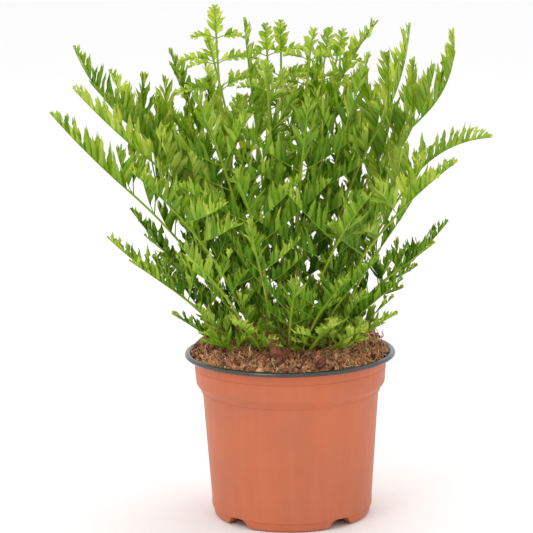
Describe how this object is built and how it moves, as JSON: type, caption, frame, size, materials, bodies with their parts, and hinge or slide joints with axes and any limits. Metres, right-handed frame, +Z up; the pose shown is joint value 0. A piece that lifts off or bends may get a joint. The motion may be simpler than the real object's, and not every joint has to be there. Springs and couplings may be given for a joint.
{
  "type": "potted fern",
  "caption": "Cut-leaved table fern in a small round nursery pot: slender upright stalks fan out into lobed fronds above a mound of peat.",
  "frame": {"origin": "middle of the whole plant's extent, on the surface that the pot stands on", "axes": "+Z up, +Y away from the viewer of the picture, +X to the viewer's right"},
  "size_m": [0.2492, 0.2046, 0.2903],
  "materials": {
    "pot_plastic": "satin terracotta, black on the lip and inside",
    "soil": "coarse moist peat and coir",
    "bark": "rough",
    "fern_leaf": "satin leaf"
  },
  "bodies": {
    "root": {"pot": "pot_plastic", "soil": "soil", "bark_strip": "bark", "bark_chip": "bark", "outer_frond_01": "fern_leaf", "outer_frond_02": "fern_leaf", "outer_frond_03": "fern_leaf", "outer_frond_04": "fern_leaf", "outer_frond_05": "fern_leaf", "outer_frond_06": "fern_leaf", "outer_frond_07": "fern_leaf", "outer_frond_08": "fern_leaf", "outer_frond_09": "fern_leaf", "outer_frond_10": "fern_leaf", "arching_frond_01": "fern_leaf", "arching_frond_02": "fern_leaf", "arching_frond_03": "fern_leaf", "arching_frond_04": "fern_leaf", "arching_frond_05": "fern_leaf", "arching_frond_06": "fern_leaf", "young_frond_01": "fern_leaf", "young_frond_02": "fern_leaf", "young_frond_03": "fern_leaf", "young_frond_04": "fern_leaf", "young_frond_05": "fern_leaf", "young_frond_06": "fern_leaf", "young_frond_07": "fern_leaf", "young_frond_08": "fern_leaf", "inner_frond_01": "fern_leaf", "inner_frond_02": "fern_leaf", "inner_frond_03": "fern_leaf", "inner_frond_04": "fern_leaf", "middle_frond_01": "fern_leaf", "middle_frond_02": "fern_leaf", "middle_frond_03": "fern_leaf", "middle_frond_04": "fern_leaf", "middle_frond_05": "fern_leaf", "middle_frond_06": "fern_leaf", "middle_frond_07": "fern_leaf", "middle_frond_08": "fern_leaf", "middle_frond_09": "fern_leaf", "middle_frond_10": "fern_leaf", "middle_frond_11": "fern_leaf", "middle_frond_12": "fern_leaf", "middle_frond_13": "fern_leaf", "middle_frond_14": "fern_leaf", "middle_frond_15": "fern_leaf", "seedling_frond_01": "fern_leaf", "seedling_frond_02": "fern_leaf", "seedling_frond_03": "fern_leaf", "seedling_frond_04": "fern_leaf", "seedling_frond_05": "fern_leaf", "seedling_frond_06": "fern_leaf", "seedling_frond_07": "fern_leaf", "seedling_frond_08": "fern_leaf", "seedling_frond_09": "fern_leaf", "seedling_frond_10": "fern_leaf", "seedling_frond_11": "fern_leaf", "seedling_frond_12": "fern_leaf", "seedling_frond_13": "fern_leaf"}
  },
  "joints": []
}
